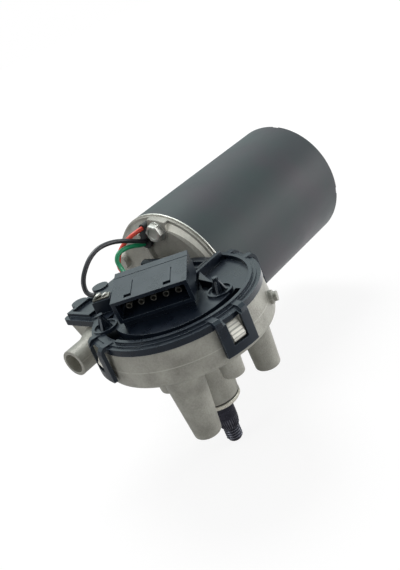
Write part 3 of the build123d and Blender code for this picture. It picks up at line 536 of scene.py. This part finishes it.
def spindle_radius(z, turn):
    """Outer radius of the spindle in mm at height z and at a turn of 0 to 1."""
    tip = SPINDLE_TIP_Z
    # height and radius: chamfered tip, thread, tapered serrations, shank, grooves, top
    outline = ((tip, 0.0), (tip + 0.01, 2.2), (tip + 0.8, 3.3), (tip + 2.2, THREAD_R),
               (THREAD_TOP_Z, THREAD_R), (THREAD_TOP_Z + 0.3, 4.6), (-19.8, 5.1), (-17.8, 5.5),
               (-15.6, 5.7), (-13.0, 5.75), (-3.3, 5.75), *SPINDLE_TOP)
    radius = 0.0
    for (z0, r0), (z1, r1) in zip(outline, outline[1:]):
        if z0 <= z <= z1:
            radius = r0 + (r1 - r0) * (z - z0) / (z1 - z0)
            break
    # the thread runs in over its first 0.8 mm and out over its last 0.3 mm
    start = tip + 0.9
    if start < z < THREAD_TOP_Z:
        phase = (z / THREAD_PITCH - turn) % 1.0
        groove = min(1.0, abs(2 * phase - 1) * 1.25)
        fade = min(1.0, (z - start) / 0.8, (THREAD_TOP_Z - z) / 0.3)
        radius -= THREAD_DEPTH * groove * fade
    # the serrations start sharply and run out over 4 mm
    low, high = SERRATED_Z
    if low < z < high:
        fade = min(1.0, (z - low) / 0.6, (high - z) / 4.0)
        radius -= SERRATION_DEPTH * fade * abs(2 * ((turn * SERRATIONS) % 1.0) - 1)
    return max(radius, 0.0)


def spindle_mesh(bm):
    """Rings close together on thread and serrations, then only where the radius changes."""
    around = SERRATIONS * 8
    heights = [SPINDLE_TIP_Z + above for above in (0.01, 0.25, 0.5, 0.8)]
    z = SPINDLE_TIP_Z + 0.95
    while z < SERRATED_Z[1]:
        heights.append(z)
        z += RING_STEP
    heights += [-13.9, -13.0, -8.0, -3.3, *(height for height, _ in SPINDLE_TOP[:-1])]
    rings = []
    for z in heights:
        ring = []
        for i in range(around):
            turn = i / around
            r = spindle_radius(z, turn)
            a = 2 * math.pi * turn
            ring.append(bm.verts.new((r * math.cos(a) * MM, r * math.sin(a) * MM, z * MM)))
        rings.append(ring)
    skin(bm, rings)


def spindle():
    piece = place_piece("spindle", mesh_from("spindle", spindle_mesh), "black_oxide", "output",
                        "output_shaft")
    piece.data.set_sharp_from_angle(angle=math.radians(30))


def screw_head_mesh(bm):
    """Flanged hexagon head with a dished crown, its axis along X, seat at x = 0."""
    rings = []
    for x, across, hexagon in HEAD_ROWS:
        ring = []
        for i in range(HEAD_SIDES):
            a = 2 * math.pi * i / HEAD_SIDES
            r = across
            if hexagon:
                r /= math.cos((a % (math.pi / 3)) - math.pi / 6)
            ring.append(bm.verts.new((x * MM, r * math.cos(a) * MM, r * math.sin(a) * MM)))
        rings.append(ring)
    skin(bm, rings)


def repeat_tree(name, material):
    """Copies of one item on the points of a mesh, all turned alike."""
    tree = bpy.data.node_groups.new(name, "GeometryNodeTree")
    for label, kind in (("Geometry", "NodeSocketGeometry"), ("Item", "NodeSocketObject"),
                        ("Turn", "NodeSocketVector")):
        tree.interface.new_socket(label, in_out="INPUT", socket_type=kind)
    tree.interface.new_socket("Geometry", in_out="OUTPUT", socket_type="NodeSocketGeometry")
    start = add(tree, "NodeGroupInput").outputs
    item = add(tree, "GeometryNodeObjectInfo", {"Object": start["Item"]}).outputs["Geometry"]
    turn = add(tree, "FunctionNodeEulerToRotation", (start["Turn"],))
    copies = add(tree, "GeometryNodeInstanceOnPoints",
                 {"Points": start["Geometry"], "Instance": item, "Rotation": turn})
    real = add(tree, "GeometryNodeRealizeInstances", {"Geometry": copies})
    dressed = add(tree, "GeometryNodeSetMaterial", {"Geometry": real, "Material": material})
    add(tree, "NodeGroupOutput", {"Geometry": dressed})
    return tree


def repeated(name, item, points, turn, finish, body, node):
    """Plain mesh of one item repeated on points."""
    mesh = bpy.data.meshes.new(name + "_points")
    mesh.from_pydata(points, [], [])
    holder = bpy.data.objects.new(name + "_holder", mesh)
    bpy.context.scene.collection.objects.link(holder)
    tree = repeat_tree(name + "_repeat", MATERIALS[finish])
    modifier = holder.modifiers.new("repeat", "NODES")
    modifier.node_group = tree
    values = {"Item": item, "Turn": turn}
    for socket in tree.interface.items_tree:
        if socket.name in values:
            modifier[socket.identifier] = values[socket.name]
    bpy.context.view_layer.update()
    graph = bpy.context.evaluated_depsgraph_get()
    result = bpy.data.meshes.new_from_object(holder.evaluated_get(graph))
    bpy.data.objects.remove(holder)
    bpy.data.objects.remove(item)
    return place_piece(name, result, finish, body, node)


def flange_screw_heads():
    item = bpy.data.objects.new("hex_screw_item", mesh_from("hex_screw_item", screw_head_mesh))
    bpy.context.scene.collection.objects.link(item)
    points = []
    for angle in SCREW_ANGLES:
        a = math.radians(angle)
        points.append((SCREW_SEAT_X * MM, (CENTRE + SCREW_R * math.cos(a)) * MM,
                       (AXIS_Z + SCREW_R * math.sin(a)) * MM))
    piece = repeated("hexagon_screws", item, points, (math.radians(SCREW_TURN), 0, 0), "zinc",
                     "housing", "flange_screws")
    piece.data.set_sharp_from_angle(angle=math.radians(28))


def weld_bead_mesh(bm):
    """Two flat beads that hold the black lead on its tab, in waves of about 2 mm."""
    for x, y, z, radius in WELD_BEADS:
        start = len(bm.verts)
        bmesh.ops.create_icosphere(bm, subdivisions=3, radius=radius * MM)
        bm.verts.ensure_lookup_table()
        for v in bm.verts[start:]:
            wobble = 1 + 0.12 * math.sin(2600 * v.co.x + 5) + 0.1 * math.cos(3100 * v.co.y)
            bead = Vector((v.co.x * 1.3 * wobble, v.co.y * wobble, v.co.z * 0.6))
            v.co = bead + Vector((x, y, z)) * MM


# ---- light, floor and camera ----
def camera():
    data = bpy.data.cameras.new("camera")
    data.lens = LENS_MM
    data.sensor_width = SENSOR_MM
    data.clip_start = 0.01
    view = bpy.data.objects.new("camera", data)
    turn = Matrix((CAMERA_RIGHT, CAMERA_UP, CAMERA_BACK)).transposed().to_4x4()
    view.matrix_world = Matrix.Translation(CAMERA_PLACE) @ turn
    bpy.context.scene.collection.objects.link(view)
    bpy.context.scene.camera = view


def tent():
    """White all round to the eye, a plain soft light on the object.

    What glossy parts mirror is bright at the far side and the top, dim towards the camera.
    """
    world = bpy.data.worlds.new("studio")
    bpy.context.scene.world = world
    world.use_nodes = True
    tree = world.node_tree
    ray = add(tree, "ShaderNodeLightPath").outputs
    towards = add(tree, "ShaderNodeTexCoord").outputs["Generated"]
    side = add(tree, VECTOR_MATH, (towards, TENT_AIM), operation="DOT_PRODUCT")
    side = add(tree, SPAN, {"Value": side, "From Min": TENT_SPAN[0], "From Max": TENT_SPAN[1]})
    side = add(tree, MATH, (side, TENT_CURVE), operation="POWER")
    mirrored = add(tree, MIX, (side, grey(TENT_DIM), TENT_BRIGHT), data_type="RGBA")
    soft = add(tree, MIX, (ray["Is Glossy Ray"], grey(TENT_LIGHT), mirrored), data_type="RGBA")
    shown = add(tree, MATH, (ray["Is Camera Ray"], ray["Is Transmission Ray"]),
                operation="MAXIMUM")
    tone = add(tree, MIX, (shown, soft, WHITE), data_type="RGBA")
    feed(tree, tree.nodes["Background"], {"Color": tone})


def floor_paper():
    """Pale paper that keeps the object's shadow.

    Glossy parts mirror a dark table in front and a white card under the can.
    """
    material, tree, shader = new_material("studio_floor_paper")
    feed(tree, shader, {"Base Color": grey(FLOOR_TONE), "Roughness": 0.9})
    ray = add(tree, "ShaderNodeLightPath").outputs
    place = add(tree, "ShaderNodeTexCoord").outputs["Object"]
    axis = add(tree, AXES, (place,)).outputs
    along = add(tree, SPAN, {"Value": axis["X"], "From Min": CARD_X[0], "From Max": CARD_X[1]})
    across = add(tree, SPAN, {"Value": axis["Y"], "From Min": CARD_Y[0], "From Max": CARD_Y[1]})
    card = add(tree, SPAN, {"Value": product(tree, along, across), "To Min": TABLE_LEVEL,
                            "To Max": CARD_LEVEL})
    # the paper stays white out of the lamps' reach
    away = add(tree, VECTOR_MATH, (place,), operation="LENGTH")
    paper = add(tree, SPAN, {"Value": away, "From Min": PAPER_REACH[0],
                             "From Max": PAPER_REACH[1], "To Min": PAPER_GLOW[0],
                             "To Max": PAPER_GLOW[1]})
    tone = add(tree, MIX, (ray["Is Glossy Ray"], paper, card), data_type="RGBA")
    glow = add(tree, "ShaderNodeEmission", {"Color": tone})
    shown = add(tree, MATH, (ray["Is Camera Ray"], ray["Is Transmission Ray"]),
                operation="MAXIMUM")
    share = add(tree, MATH, (product(tree, shown, PAPER_SHARE),
                             product(tree, ray["Is Glossy Ray"], MIRROR_SHARE)),
                operation="MAXIMUM")
    paper = add(tree, "ShaderNodeMixShader", (share, shader, glow))
    feed(tree, tree.nodes["Material Output"], {"Surface": paper})
    return material


def floor():
    half, low = FLOOR_HALF, SPINDLE_TIP_Z * MM - FLOOR_DROP
    mesh = bpy.data.meshes.new("floor")
    corners = [(-half, -half, low), (half, -half, low), (half, half, low), (-half, half, low)]
    mesh.from_pydata(corners, [], [(0, 1, 2, 3)])
    mesh.materials.append(floor_paper())
    sheet = bpy.data.objects.new("floor", mesh)
    bpy.context.scene.collection.objects.link(sheet)


def lamps():
    """Round softboxes, all aimed at the middle of the motor."""
    for name, place, size, power in LAMPS:
        data = bpy.data.lights.new(name, "AREA")
        data.shape = "DISK"
        data.size = size
        data.energy = power
        lamp = bpy.data.objects.new(name, data)
        lamp.location = place
        aim = Vector(LAMPS_AIM) - Vector(place)
        lamp.rotation_euler = aim.to_track_quat("-Z", "Y").to_euler()
        bpy.context.scene.collection.objects.link(lamp)


bpy.context.scene.view_settings.view_transform = "Standard"
camera()
tent()
floor()
lamps()
dress_nodes()
for lead, (lead_length, lead_finish, lead_slot, lead_route) in LEADS.items():
    lead_piece(lead, lead_finish, lead_route)
spindle()
flange_screw_heads()
place_piece("weld_beads", mesh_from("weld_beads", weld_bead_mesh), "weld", "housing")
